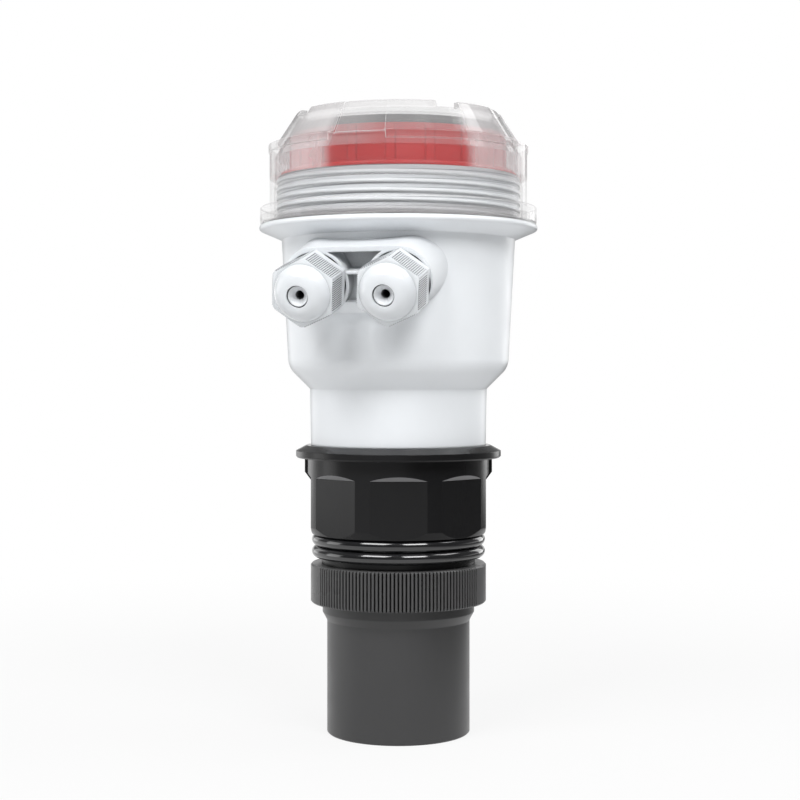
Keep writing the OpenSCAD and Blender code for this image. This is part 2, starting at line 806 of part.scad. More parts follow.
module display_board() {
    color("darkgreen") difference() {
        translate([0, 0, display_z]) cylinder(r = display_r, h = board_t);
        around(stud_ring_r, stud_angles)
            translate([0, 0, display_z - cut]) cylinder(r = screw_r + fixed_gap, h = board_t + 2 * cut);
    }
}

// Small press switches under the keys
module key_switches() {
    color("dimgray") for (i = [-1:1]) translate([i * key_pitch, -key_y, display_top_z]) {
        block(switch_w, switch_w, switch_h);
        cylinder(r = switch_stem_r, h = switch_h + switch_stem_h);
    }
}

// One key: a cap through the face plate and a flange that keeps it in
module key(i, tint) {
    key_top = face_z + plate_t + key_rise;
    flange_z0 = face_z - run_gap - key_flange_t;
    color(tint) translate([i * key_pitch, -key_y, 0]) rotate_extrude() polygon([[0, key_foot_z],
        [key_r - 1, key_foot_z], [key_r - 1, flange_z0], [key_flange_r, flange_z0],
        [key_flange_r, flange_z0 + key_flange_t], [key_r, flange_z0 + key_flange_t],
        [key_r, key_top - 0.3], [key_r - 0.3, key_top], [0, key_top]]);
}

module set_key() {
    key(-1, "#30343a");
}

module up_key() {
    key(0, "#30343a");
}

module down_key() {
    key(1, "#30343a");
}

// Screws that hold the display board to the studs of the carrier
module display_screws() {
    color("silver") around(stud_ring_r, stud_angles)
        translate([0, 0, display_top_z]) screw(screw_l + board_t);
}

// Screws that hold the carrier's floor to the columns of the housing
module module_screws() {
    color("silver") around(column_ring_r, column_angles)
        translate([0, 0, floor_z + carrier_floor_t]) screw(screw_l + carrier_floor_t);
}

module main_board() {
    color("darkgreen") difference() {
        translate([0, 0, main_z]) cylinder(r = main_r, h = board_t);
        around(post_ring_r, post_angles)
            translate([0, 0, main_z - cut]) cylinder(r = screw_r + fixed_gap, h = board_t + 2 * cut);
        around(column_ring_r, column_angles)
            translate([0, 0, main_z - cut]) cylinder(r = column_r + run_gap, h = board_t + 2 * cut);
    }
}

module board_screws() {
    color("silver") around(post_ring_r, post_angles)
        translate([0, 0, main_top_z]) screw(screw_l + board_t);
}

// Wire terminals: one clamp per pole, with its wire opening towards the glands
module terminal_block() {
    block_w = terminals * terminal_pitch + 1;
    color("seagreen") translate([0, terminal_y, main_top_z]) difference() {
        block(block_w, terminal_d, terminal_h);
        for (i = [0:terminals - 1]) translate([(i - (terminals - 1) / 2) * terminal_pitch, 0, 0]) {
            translate([0, -terminal_d / 2 - cut, 3])
                rotate([-quarter, 0, 0]) cylinder(r = terminal_screw_r, h = terminal_d / 2 + cut);
            translate([0, 0, terminal_h - terminal_pit])
                cylinder(r = terminal_screw_r + fixed_gap, h = terminal_pit + cut);
        }
    }
}

module terminal_screws() {
    color("silver") for (i = [0:terminals - 1])
        translate([(i - (terminals - 1) / 2) * terminal_pitch, terminal_y,
            main_top_z + terminal_h - terminal_pit])
            difference() {
                cylinder(r = terminal_screw_r, h = terminal_screw_l);
                translate([0, 0, terminal_screw_l - 0.6]) block(2 * terminal_screw_r + cut, 0.6, cut);
            }
}

// Transformer that drives the transducer: core and bobbin as one potted block
module drive_transformer() {
    color("#caa64a") translate([coil_x, coil_y, main_top_z]) {
        block(coil_w, coil_d, coil_h);
        translate([0, 0, bobbin_lift]) block(bobbin_w, bobbin_d, bobbin_h);
    }
}

module capacitors() {
    color("#30406a") for (p = [[cap_x, 0, 1], [cap_x + cap_step, cap_y, 0.75], [0, cap_y, 0.65]])
        translate([p[0], p[1], main_top_z]) cylinder(r = cap_r * p[2], h = cap_h * p[2]);
}

module board_chips() {
    color("#202022") {
        translate([0, chip_y, main_top_z]) block(chip_w, chip_d, chip_t);
        translate([logic_x, logic_y, main_top_z]) block(logic_w, logic_w, logic_t);
    }
}

// Sockets for the ribbon, one on the main board and one under the display board
module ribbon_sockets() {
    color("#262628") {
        translate([0, ribbon_y, main_top_z]) block(socket_w, socket_d, socket_h);
        translate([0, ribbon_y, display_z - socket_h]) block(socket_w, socket_d, socket_h);
    }
}

// Flat ribbon with a slight bow between the two boards
module ribbon_cable() {
    steps = 12;
    low_z = main_top_z + socket_h;
    span = display_z - socket_h - low_z;
    path = [for (i = [0:steps]) [ribbon_y + ribbon_bow * sin(180 * i / steps), low_z + span * i / steps]];
    back = [for (i = [steps:-1:0]) path[i] + [ribbon_t, 0]];
    color("lightgray") rotate([quarter, 0, quarter])
        linear_extrude(ribbon_w, center = true)
            translate([-ribbon_t / 2, 0]) polygon(concat(path, back));
}

module lead_plug() {
    color("ivory") translate([0, 0, main_z - plug_h]) block(9, 7, plug_h);
}

module gland_washer(side) {
    color("#3a3a3c") gland_frame(side) translate([0, 0, -washer_t])
        ring(counterbore_r - run_gap, gland_thread_r + run_gap, washer_t);
}

// Gland body: thread into the boss, hexagon, thread for the nut and a tapered collet
module gland_body(side) {
    collet_r = nut_thread_r - 0.9;
    color("#eef1f4") gland_frame(side) difference() {
        union() {
            rotate([0, 0, 30 + gland_roll]) cylinder(r = hex_r, h = gland_hex_h, $fn = 6);
            translate([0, 0, -gland_shank_l]) cylinder(r = gland_thread_r, h = gland_shank_l + cut);
            cylinder(r = nut_thread_r, h = nut_body_top);
            translate([0, 0, nut_body_top])
                cylinder(r1 = collet_r, r2 = gland_bore_r + 0.6, h = collet_h);
        }
        translate([0, 0, -gland_shank_l - cut])
            cylinder(r = gland_bore_r, h = gland_shank_l + collet_top + 2 * cut);
    }
}

// Rubber seal: plain in the body, a narrow nose in the nut and a funnel to the cable hole
module gland_seal(side) {
    nose_r = dome_hole_r - run_gap;
    color("#dfe3e6") gland_frame(side) rotate_extrude() polygon([[cable_r, seal_foot],
        [seal_r, seal_foot], [seal_r, seal_neck - seal_shoulder], [nose_r, seal_neck],
        [nose_r, seal_top], [nose_r - seal_lip, seal_top], [cable_r, seal_top - seal_funnel]]);
}

// Dome nut with a hexagon whose corners are chamfered
module gland_nut(side) {
    bore_r = nut_thread_r + run_gap;
    bore_top = nut_body_top + 0.8;
    cone_top = dome_top - 2.2;
    lip = 0.4;
    dome_z = nut_top - dome_drop;
    rise = dome_top - dome_z;
    mouth_r = dome_hole_r + lip;
    dome = [for (a = [0:6:quarter])
        [mouth_r + (dome_r - mouth_r) * cos(a), dome_z + (rise - lip) + lip * sin(a)
            - (rise - lip) * (1 - sin(a))]];
    color("#f2f4f6") gland_frame(side) difference() {
        union() {
            intersection() {
                rotate([0, 0, 30 + gland_roll])
                    translate([0, 0, nut_z]) cylinder(r = hex_r, h = nut_h, $fn = 6);
                translate([0, 0, nut_z - cut]) rotate_extrude() polygon([[0, 0], [hex_r + cut, 0],
                    [hex_r + cut, nut_h + cut - 0.8], [dome_r, nut_h + cut + 0.2],
                    [0, nut_h + cut + 0.2]]);
            }
            rotate_extrude() polygon(concat([[0, dome_z - cut], [dome_r, dome_z - cut]], dome,
                [[0, dome_top]]));
        }
        translate([0, 0, nut_z - cut]) cylinder(r = bore_r, h = bore_top - nut_z + cut);
        translate([0, 0, bore_top])
            cylinder(r1 = bore_r, r2 = dome_hole_r, h = cone_top - bore_top);
        translate([0, 0, bore_top]) cylinder(r = dome_hole_r, h = dome_top - bore_top + cut);
    }
}

module gland_washer_left() {
    gland_washer(-1);
}

module gland_body_left() {
    gland_body(-1);
}

module gland_seal_left() {
    gland_seal(-1);
}

module gland_nut_left() {
    gland_nut(-1);
}

module gland_washer_right() {
    gland_washer(1);
}

module gland_body_right() {
    gland_body(1);
}

module gland_seal_right() {
    gland_seal(1);
}

module gland_nut_right() {
    gland_nut(1);
}

sensor_tube();
matching_layer();
piezo_disc();
damping_block();
isolation_sleeve();
potting();
temperature_sensor();
sensor_lead();
knurled_ring();
backing_washer();
lower_o_ring();
upper_o_ring();
connection_body();
housing();
cover_seal();
clear_cover();
display_carrier();
face_plate();
display_window();
lcd_panel();
display_board();
key_switches();
set_key();
up_key();
down_key();
display_screws();
module_screws();
main_board();
board_screws();
terminal_block();
terminal_screws();
drive_transformer();
capacitors();
board_chips();
ribbon_sockets();
ribbon_cable();
lead_plug();
gland_washer_left();
gland_body_left();
gland_seal_left();
gland_nut_left();
gland_washer_right();
gland_body_right();
gland_seal_right();
gland_nut_right();
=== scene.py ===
# %% [markdown]
# # A liquid level sensor
# An ultrasonic level transmitter stands upright on its sensing face. From the bottom up it has a
# dark tube, a knurled ring, two O-rings, a black connection body with wrench flats, a white
# housing with two cable glands, and a clear screw cover over a red display module.
#
# The solids come from a packed CAD model, the frame. They could all be modelled again here, but
# then sizes and joints would drift apart. So this script keeps the CAD solids where they are,
# gives them their finishes, and adds what only the eye needs: threads, ribs and a display.

# %% Load the frame
import json
import math

import bpy
from mathutils import Matrix, Vector


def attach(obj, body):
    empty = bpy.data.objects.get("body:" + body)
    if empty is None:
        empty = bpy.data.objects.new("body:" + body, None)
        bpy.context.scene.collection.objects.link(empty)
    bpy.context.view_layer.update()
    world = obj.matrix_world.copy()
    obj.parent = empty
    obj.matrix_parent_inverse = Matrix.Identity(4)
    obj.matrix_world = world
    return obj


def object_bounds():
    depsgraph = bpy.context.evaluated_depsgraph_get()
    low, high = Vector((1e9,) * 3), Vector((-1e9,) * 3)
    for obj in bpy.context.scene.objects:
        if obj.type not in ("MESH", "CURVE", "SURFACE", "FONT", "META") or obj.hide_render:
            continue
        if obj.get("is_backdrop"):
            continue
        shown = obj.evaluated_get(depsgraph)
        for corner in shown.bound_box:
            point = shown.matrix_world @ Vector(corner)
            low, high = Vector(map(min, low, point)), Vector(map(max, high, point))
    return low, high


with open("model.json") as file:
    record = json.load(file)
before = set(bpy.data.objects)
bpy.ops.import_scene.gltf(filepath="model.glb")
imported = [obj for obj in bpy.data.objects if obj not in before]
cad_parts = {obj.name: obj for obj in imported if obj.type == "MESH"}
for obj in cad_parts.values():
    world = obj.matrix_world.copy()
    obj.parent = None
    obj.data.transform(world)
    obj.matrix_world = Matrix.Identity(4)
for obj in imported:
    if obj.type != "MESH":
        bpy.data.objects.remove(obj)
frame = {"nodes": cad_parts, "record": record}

MM = 0.001
cad_box = [list(corner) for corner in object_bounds()]
nodes = frame["nodes"]
print("CAD box in mm:", [[round(v / MM, 2) for v in corner] for corner in cad_box])

# %% [markdown]
# ## Camera
# The picture was taken from the front with a level camera, a little above the middle of the
# sensor. A camera that looks down makes the upright edges lean, and a level one keeps them
# parallel, so a small shift, and not a tilt, puts the horizon where the picture has it. Eye height
# and distance were fitted to the rings: their ellipses close up at the height of the eye.

# %% Camera
eye_distance, eye_height = 546 * MM, 119.6 * MM
camera_data = bpy.data.cameras.new("camera")
camera_data.lens = 74.07
camera_data.sensor_width = 36
camera_data.shift_x = 0.002
camera_data.shift_y = -0.038
camera = bpy.data.objects.new("camera", camera_data)
camera.location = (0, -eye_distance, eye_height)
camera.rotation_euler = (math.radians(90), 0, 0)
bpy.context.scene.collection.objects.link(camera)
bpy.context.scene.camera = camera
bpy.context.scene.view_settings.view_transform = "Standard"
print("camera at", tuple(camera.location), "lens", camera_data.lens)

# %% [markdown]
# ## A notation for nodes
# Materials and Geometry Nodes are both trees of nodes. They could be built by hand in the editor,
# but here each one is written as text. One method adds any node, with its settings first and then
# the values or links of its sockets. A small class wraps an output socket, so that maths on
# numbers is written as an ordinary expression, and each operator adds one Math node. Colours and
# vectors don't pass through it, because a Math node keeps one number only.

# %% Wires
class Wire:
    """An output socket that can be used in an expression."""

    def __init__(self, tree, node, out=0):
        self.tree, self.node, self.socket = tree, node, node.outputs[out]

    def __getitem__(self, out):
        return Wire(self.tree, self.node, out)

    def math(self, operation, *values):
        return self.tree.add("ShaderNodeMath", {"operation": operation}, dict(enumerate(values)))

    def __add__(self, other):
        return self.math("ADD", self, other)

    def __radd__(self, other):
        return self.math("ADD", other, self)

    def __sub__(self, other):
        return self.math("SUBTRACT", self, other)

    def __rsub__(self, other):
        return self.math("SUBTRACT", other, self)

    def __mul__(self, other):
        return self.math("MULTIPLY", self, other)

    def __rmul__(self, other):
        return self.math("MULTIPLY", other, self)

    def __truediv__(self, other):
        return self.math("DIVIDE", self, other)

    def __rtruediv__(self, other):
        return self.math("DIVIDE", other, self)

    def __lt__(self, other):
        return self.math("LESS_THAN", self, other)

    def __gt__(self, other):
        return self.math("GREATER_THAN", self, other)

    def __abs__(self):
        return self.math("ABSOLUTE", self)

    def __mod__(self, other):
        return self.math("FLOORED_MODULO", self, other)

    def fade(self, low, high, start=0.0, end=1.0):
        """start at low, end at high, with a soft step between them."""
        return self.tree.add(
            "ShaderNodeMapRange", {"interpolation_type": "SMOOTHSTEP"},
            {"Value": self, "From Min": low, "From Max": high, "To Min": start, "To Max": end})


print("a wire can stand right of:", [name for name in vars(Wire) if name.startswith("__r")])

# %% Trees
class Tree:
    """Adds nodes to a material's tree, to the world's or to a Geometry Nodes tree."""

    def __init__(self, tree):
        self.tree = tree

    def add(self, kind, settings=None, sockets=None, out=0):
        node = self.tree.nodes.new(kind)
        for name, value in (settings or {}).items():
            setattr(node, name, value)
        for name, value in (sockets or {}).items():
            self.feed(self.find(node, name), value)
        return Wire(self, node, out)

    def find(self, node, name):
        if isinstance(name, int):
            return node.inputs[name]
        for socket in node.inputs:
            if socket.identifier == name or (socket.name == name and socket.enabled):
                return socket
        raise KeyError(f"{node.bl_idname} has no socket {name}")

    def feed(self, socket, value):
        if isinstance(value, Wire):
            self.tree.links.new(value.socket, socket)
        else:
            socket.default_value = value


print("node notation ready")

# %% [markdown]
# ## Finishes
# Nearly everything here is injection moulded plastic. A moulded skin isn't a flat colour: it has
# a very fine grain, a slight unevenness of gloss where the mould was polished, and soft edges,
# because no mould has a perfectly sharp corner. The edges could be rounded in the mesh, but the
# CAD solids aren't changed here. The Bevel node rounds the shading only, which is enough for
# radii of a few tenths of a millimetre.
#
# Patterns read Object coordinates. Every piece has its object at the origin, so these are metres
# on the real thing, and one grain fits all pieces.

# %% A material with its patterns
class Finish(Tree):
    """A material for one finish. What varies over the surface is an expression of wires."""

    def __init__(self, name, colour, roughness, **constants):
        self.material = bpy.data.materials.new(name)
        self.material.use_nodes = True
        super().__init__(self.material.node_tree)
        self.shader = self.tree.nodes["Principled BSDF"]
        self.colour = (*colour, 1.0)
        self.set("Base Color", self.colour)
        self.set("Roughness", roughness)
        for socket, value in constants.items():
            self.set(socket.replace("_", " "), value)
        self.place = self.add("ShaderNodeTexCoord", out=3)
        self.facing = self.add("ShaderNodeNewGeometry", out=1)

    def set(self, socket, value):
        self.feed(self.shader.inputs[socket], value)

    def split(self, vector):
        """The three numbers of a vector."""
        parts = self.add("ShaderNodeSeparateXYZ", sockets={0: vector})
        return [parts[i] for i in range(3)]

    def noise(self, per_mm, detail=2.0, stretch=(1, 1, 1)):
        """Noise between 0 and 1 with so many cells in a millimetre."""
        spread = self.add("ShaderNodeVectorMath", {"operation": "MULTIPLY"},
                          {0: self.place, 1: stretch})
        return self.add("ShaderNodeTexNoise", {"normalize": True},
                        {"Vector": spread, "Scale": per_mm / MM, "Detail": detail})

    def mix(self, factor, a, b):
        """From colour a to colour b as factor goes from 0 to 1."""
        a, b = [(*v, 1.0) if isinstance(v, tuple) and len(v) == 3 else v for v in (a, b)]
        return self.add("ShaderNodeMix", {"data_type": "RGBA", "clamp_factor": True},
                        {"Factor_Float": factor, "A_Color": a, "B_Color": b}, out=2)

    def bump(self, height, depth_mm, edge_mm=0.0):
        """Raises the surface by height times depth_mm, over edges rounded to edge_mm."""
        sockets = {"Height": height, "Distance": depth_mm * MM, "Strength": 1.0}
        if edge_mm:
            sockets["Normal"] = self.add("ShaderNodeBevel", {"samples": 6},
                                         {"Radius": edge_mm * MM})
        self.set("Normal", self.add("ShaderNodeBump", sockets=sockets))
        return self


def tinted(colour, factor):
    """The colour made lighter or darker."""
    return tuple(min(1.0, channel * factor) for channel in colour)


print("finish notation ready")

# %% [markdown]
# ## White moulding
# The housing and the glands are a cool white plastic, moulded with a satin skin on the housing
# and polished on the glands. Handling leaves the broad faces slightly uneven in gloss. The
# colour stays below full white, so the lamps have room for highlights.
#
# Corners and the collar under the cover are darker in the picture than soft lamps alone make
# them. Harder lamps would do it, but they would also burn out the domes. So the shade is painted:
# an Ambient Occlusion node darkens the colour in the corners, the collar's painted shade follows
# its thread by maths, faces that look up are painted a little darker, and the colour dims where
# the surface turns away.

# %% White plastics
def moulded(name, colour, roughness, grain_mm=0.012, edge_mm=0.5, uneven=0.06, shade_mm=0,
            shade=(0.05, 0.75, 0.32), alone=True, rim=1.0, paint=None, **constants):
    """A moulded plastic with fine grain, clouds of uneven gloss and softened edges. Painted
    shade darkens the colour in corners, as far out as shade_mm. shade is where it starts and
    ends, and how dark it gets. alone leaves the other pieces out. rim is the colour left where
    the surface turns away, a painted shade along the outline. paint adds more to the colour."""
    finish = Finish(name, colour, roughness, **constants)
    cloud = finish.noise(0.09, 3)
    grain = finish.noise(2.2, 2)
    skin = finish.mix(cloud, tinted(colour, 1 - uneven / 3), tinted(colour, 1 + uneven / 3))
    if shade_mm:
        # Painted shade: Ambient Occlusion darkens the colour in corners.
        open_air = finish.add("ShaderNodeAmbientOcclusion", {"samples": 8, "only_local": alone},
                              {"Distance": shade_mm * MM}, out=1)
        skin = finish.mix(open_air.fade(*shade[:2]), tinted(colour, shade[2]), skin)
    if paint:
        skin = paint(finish, skin)
    if rim < 1:
        # Painted shade: the colour dims where the surface turns away from the eye.
        turned = finish.add("ShaderNodeLayerWeight", sockets={"Blend": 0.5}, out=1)
        skin = finish.mix(turned.fade(0.72, 0.98), skin, tinted(colour, rim))
    finish.set("Base Color", skin)
    finish.set("Roughness", cloud.fade(0.3, 0.7, roughness - uneven, roughness + uneven))
    finish.bump(grain, grain_mm, edge_mm)
    return finish.material


thread = {"Root radius": 39.9 * MM, "Depth": 0.95 * MM, "Pitch": 2.85 * MM,
          "Start": 168.58 * MM, "Turns": 4.67, "Foot width": 1.3 * MM, "Crest width": 0.55 * MM,
          "Sink": 0.4 * MM}
collar_foot = 167.3, 167.5


def under_cover(finish, skin):
    """Paints shade on the collar, which lies in the shade of the cover, and most beside its
    thread. Faces that look up get a little painted shade too."""
    x, y, z = finish.split(finish.place)
    turn = x.math("ARCTAN2", y, x) / (2 * math.pi)
    # The phase is 0 on a crest, rises above it and falls below it, up to half a pitch away.
    phase = ((z - thread["Start"]) / thread["Pitch"] - turn + 0.5) % 1.0 - 0.5
    band_above, band_below = 0.30, -0.27
    above = abs(phase - band_above).fade(0.12, 0.03)
    below = abs(phase - band_below).fade(0.08, 0.02)
    # Painted shade on the collar: how much light is left there, and how much is lost beside each
    # crest.
    collar_light, lost_above, lost_below = 0.74, 0.62, 0.45
    light = collar_light * (1 - lost_above * above) * (1 - lost_below * below)
    collar = (z / MM).fade(*collar_foot)
    shaded = finish.mix(light, (0.05, 0.06, 0.07), finish.colour)
    # Painted shade: faces that look up get a darker colour.
    upwards = finish.split(finish.facing)[2].fade(0.2, 0.8)
    painted_top_shade = finish.mix(upwards, skin, tinted(finish.colour[:3], 0.84))
    return finish.mix(collar, painted_top_shade, shaded)


finishes = {}
# Painted shade: corners, the collar, faces that look up and the outline are darker.
finishes["white_plastic"] = moulded("white_housing", (0.80, 0.825, 0.85), 0.42, edge_mm=0.7,
                                    shade_mm=15, shade=(0.0, 0.55, 0.46), alone=False,
                                    rim=0.62, paint=under_cover,
                                    Coat_Weight=0.08, Coat_Roughness=0.25)
# Painted shade darkens the gaps between the gland's ribs and its outline.
gland_white = moulded("white_gland", (0.71, 0.735, 0.76), 0.2, grain_mm=0.004, edge_mm=0.25,
                      shade_mm=0.7, shade=(0.2, 0.85, 0.28), alone=False,
                      rim=0.6, Coat_Weight=0.35, Coat_Roughness=0.08)
# The thread's colour is darker than the housing's: painted shade under the cover.
thread_white = moulded("white_thread", (0.66, 0.68, 0.70), 0.35, grain_mm=0.004, edge_mm=0.12)
print("white finishes:", finishes["white_plastic"].name, gland_white.name)

# %% [markdown]
# ## Black mouldings, tube and seals
# The connection body and the ring are a black, slightly glossy moulding. The tube is a dark grey
# with a fine satin skin that scatters the light evenly. O-rings are moulded rubber: they come
# out of a polished mould and shine, with a faint flash line that is too thin to see.
#
# On black plastic nearly all that shows is reflection, so the finishes differ in gloss more than
# in colour. The shelves above the wrench flats get a painted highlight, a lighter grey that stands
# in for the light they catch. They could be a material of their own, but the CAD solid isn't cut
# up for it: height and slope find them on the one piece, and height finds the plate's cone, which
# gets a thin clear coat that mirrors the white neck.

# %% Dark finishes
shelf_foot, shelf_top, plate_cone = (83.9, 84.3), (86.5, 86.0), (92.8, 93.1)


def painted_shelf_light(finish, skin):
    """The shelf above each wrench flat gets a painted highlight, and the plate's cone is polished.
    """
    height = finish.split(finish.place)[2] / MM
    slope = abs(finish.split(finish.facing)[2])
    shelf = height.fade(*shelf_foot) * height.fade(*shelf_top) * slope.fade(0.3, 0.5)
    finish.set("Coat Weight", 0.42 * height.fade(*plate_cone))
    # Painted highlight: the shelves get a lighter grey colour.
    return finish.mix(shelf, skin, (0.20, 0.20, 0.205))


finishes["black_plastic"] = moulded("black_moulding", (0.0085, 0.0085, 0.009), 0.25,
                                    paint=painted_shelf_light,
                                    grain_mm=0.003, edge_mm=0.35, uneven=0.02,
                                    Specular_IOR_Level=0.2, Coat_Roughness=0.06)
# Painted shade darkens the knurl's grooves.
knurl_black = moulded("black_knurl", (0.074, 0.074, 0.075), 0.3, grain_mm=0.002,
                      edge_mm=0.12, uneven=0.03, shade_mm=1.0, shade=(0.45, 0.85, 0.03),
                      Specular_IOR_Level=0.16)
finishes["tube_plastic"] = moulded("tube_grey", (0.042, 0.042, 0.043), 0.33, grain_mm=0.004,
                                   edge_mm=0.5, uneven=0.03, Specular_IOR_Level=0.42)
finishes["seal_rubber"] = moulded("seal_black", (0.008, 0.008, 0.009), 0.12, grain_mm=0.004,
                                  edge_mm=0, uneven=0.04, Specular_IOR_Level=0.9)
# Painted shade darkens the seal's hole and its funnel.
finishes["pale_rubber"] = moulded("pale_seal", (0.70, 0.72, 0.74), 0.35, grain_mm=0.01,
                                  edge_mm=0.2, shade_mm=6, shade=(0.06, 0.3, 0.01), alone=False)
finishes["resin"] = moulded("potting_resin", (0.03, 0.03, 0.032), 0.3, grain_mm=0.03,
                            edge_mm=0.2)
finishes["key_rubber"] = moulded("key_pad", (0.055, 0.06, 0.065), 0.55, edge_mm=0.4)
print("dark finishes ready")

# %% [markdown]
# ## Display module
# The carrier is a vivid red moulding and its face is a matte grey plate. Behind the window lies
# a reflective liquid crystal panel, which is a pale green grey. The red is seen through haze that
# pales it, so it is chosen stronger here than it looks in the picture.

# %% Module finishes
finishes["red_plastic"] = moulded("red_carrier", (0.66, 0.024, 0.026), 0.33, edge_mm=0.9,
                                  uneven=0.05)
finishes["grey_plastic"] = moulded("grey_face", (0.11, 0.12, 0.12), 0.5, edge_mm=0.3)
finishes["lcd"] = moulded("lcd_glass", (0.33, 0.38, 0.32), 0.3, grain_mm=0.002, edge_mm=0)
print("module finishes ready")

# %% [markdown]
# ## Clear plastic
# The cover is a clear polycarbonate moulding. Real refraction through such a stepped wall costs
# many light bounces, and lamps then hardly reach the red carrier. The picture shows something
# simpler: the carrier through a slight pale haze, with bright lines along the edges. So the
# material is a glossy plastic that is mostly see-through face on, and becomes denser where the
# surface turns away or where an edge is rounded. The bright lines are a painted highlight: the
# edges glow a little. Heights on the cover tell its foot, its wall and its crown apart.

# %% Clear finishes
foot_top, crown_foot = (170.3, 170.0), (201.5, 201.9)


def clear(name, colour, face_on, sides, cone, level, edges, frost_mm=None, roughness=0.06,
          edge_mm=0.3):
    """See-through plastic. The numbers are how dense it looks face on, where the wall turns to
    the side above frost_mm, on a cone, on a level face, and along edges. A piece with frost_mm
    is the cover, which is also denser along its outline, at its foot, at its crown and on the
    left of its cone. The edges glow a little, a painted highlight, and level faces and cones get
    a darker colour, a painted shade, as do the cover's foot, outline and crown."""
    finish = Finish(name, colour, roughness, Specular_IOR_Level=0.5, Coat_Weight=0.3,
                    Coat_Roughness=0.03)
    rounded = finish.add("ShaderNodeBevel", {"samples": 6}, {"Radius": edge_mm * MM})
    along = finish.add("ShaderNodeVectorMath", {"operation": "DOT_PRODUCT"},
                       {0: rounded, 1: finish.facing}, out=1)
    edge = along.fade(0.995, 0.80)
    tilt = abs(finish.split(finish.facing)[2])
    coned = tilt.fade(0.15, 0.45) * tilt.fade(0.95, 0.8)
    flat_top = tilt.fade(0.8, 0.95)
    haze = finish.noise(0.12, 2)
    density = face_on + cone * coned + level * flat_top + 0.02 * haze
    # Painted shade: level faces and cones get a darker colour.
    dim = flat_top + 0.3 * coned
    if frost_mm:
        x, y, z = finish.split(finish.place)
        outwards = finish.add("ShaderNodeVectorTransform", {
            "vector_type": "NORMAL", "convert_from": "OBJECT", "convert_to": "WORLD"},
            {0: finish.add("ShaderNodeCombineXYZ", sockets={"X": x, "Y": y})})
        around = finish.add("ShaderNodeLayerWeight", sockets={"Blend": 0.5, "Normal": outwards},
                            out=1)
        frosted = (z / MM).fade(frost_mm - 0.4, frost_mm + 0.4)
        density += sides * frosted * around.fade(0.15, 0.23) * (1 - flat_top)
        outline = around.fade(0.4, 0.8) * (1 - flat_top)
        crown = (z / MM).fade(*crown_foot)
        foot = (z / MM).fade(*foot_top)
        left = (x / MM).fade(-4, -16)
        density += 0.14 * outline + 0.14 * crown
        density += 0.10 * coned * left
        density += 0.30 * foot
        # Painted shade: the foot, outline and crown get a darker colour too.
        dim += foot + 0.6 * outline + 0.6 * crown
    finish.set("Alpha", density + (edges - density) * edge)
    finish.set("Base Color", finish.mix(dim, colour, tinted(colour, 0.6)))
    # Painted highlight: the edges glow a little.
    finish.set("Emission Color", finish.mix(edge, (0.0, 0.0, 0.0), (0.5, 0.49, 0.49)))
    finish.set("Emission Strength", 1.0)
    finish.set("Normal", rounded)
    finish.material.surface_render_method = "DITHERED"
    return finish.material


finishes["clear_plastic"] = clear("clear_cover", (0.74, 0.72, 0.725), face_on=0.035,
                                  sides=0.29, cone=0.12, level=0.12, edges=0.7, frost_mm=182.5)
finishes["display_glass"] = clear("clear_window", (0.75, 0.80, 0.82), face_on=0.10, sides=0,
                                  cone=0, level=0.1, edges=0.3)
print("clear finishes ready")

# %% [markdown]
# ## Inside the housing
# Nobody sees the circuit boards from outside, but the part can be opened, so they get real
# finishes too: a green solder mask with copper traces under it, bright screws, a taped
# transformer, sleeved capacitors, fired ceramic and cork. Traces could be thin meshes, but there
# are hundreds of them, and a pattern of stripes that noise switches on and off costs nothing.

# %% Circuit board and metal
def circuit_board():
    """Solder mask with copper traces that show as slightly raised, lighter lines."""
    finish = Finish("circuit_board", (0.02, 0.16, 0.07), 0.32, Coat_Weight=0.4,
                    Coat_Roughness=0.1)
    across, along = [part / MM for part in finish.split(finish.place)[:2]]
    column, row = 1.3, 1.7
    trace = (abs(across % column - column / 2) < 0.16) * (finish.noise(0.11, 0) > 0.5)
    other = (abs(along % row - row / 2) < 0.18) * (finish.noise(0.13, 0) < 0.45)
    copper = trace + other - trace * other
    finish.set("Base Color", finish.mix(copper, (0.018, 0.15, 0.065), (0.05, 0.27, 0.10)))
    finish.set("Roughness", copper.fade(0, 1, 0.38, 0.26))
    finish.bump(copper, 0.03)
    return finish.material


def turned_steel():
    """Zinc plated steel with fine turning marks round the screw's axis."""
    finish = Finish("plated_steel", (0.62, 0.63, 0.64), 0.3, Metallic=1.0)
    marks = finish.noise(3.0, 2, (1, 1, 4))
    finish.set("Roughness", marks.fade(0.2, 0.8, 0.22, 0.4))
    return finish.bump(marks, 0.01, 0.15).material


finishes["circuit_board"] = circuit_board()
finishes["steel"] = turned_steel()
print("board and steel ready")

# %% Electronic parts
finishes["terminal_plastic"] = moulded("terminal_green", (0.05, 0.33, 0.15), 0.4, edge_mm=0.2)
finishes["electronic_part"] = moulded("chip_black", (0.03, 0.03, 0.034), 0.45, grain_mm=0.02,
                                      edge_mm=0.15)
finishes["capacitor"] = moulded("capacitor_sleeve", (0.04, 0.06, 0.22), 0.3, edge_mm=0.3)
finishes["cable_grey"] = moulded("cable_grey", (0.25, 0.25, 0.26), 0.5, edge_mm=0.1)


def taped_coil():
    """Yellow polyester tape, wound so that its turns show as faint steps."""
    finish = Finish("coil_tape", (0.62, 0.42, 0.07), 0.25, Coat_Weight=0.5, Coat_Roughness=0.1)
    tape_width = 0.9
    height = finish.split(finish.place)[2] / MM
    step = (height % tape_width) / tape_width
    finish.set("Base Color", finish.mix(step, (0.52, 0.34, 0.05), (0.66, 0.46, 0.10)))
    return finish.bump(step, 0.05, 0.2).material


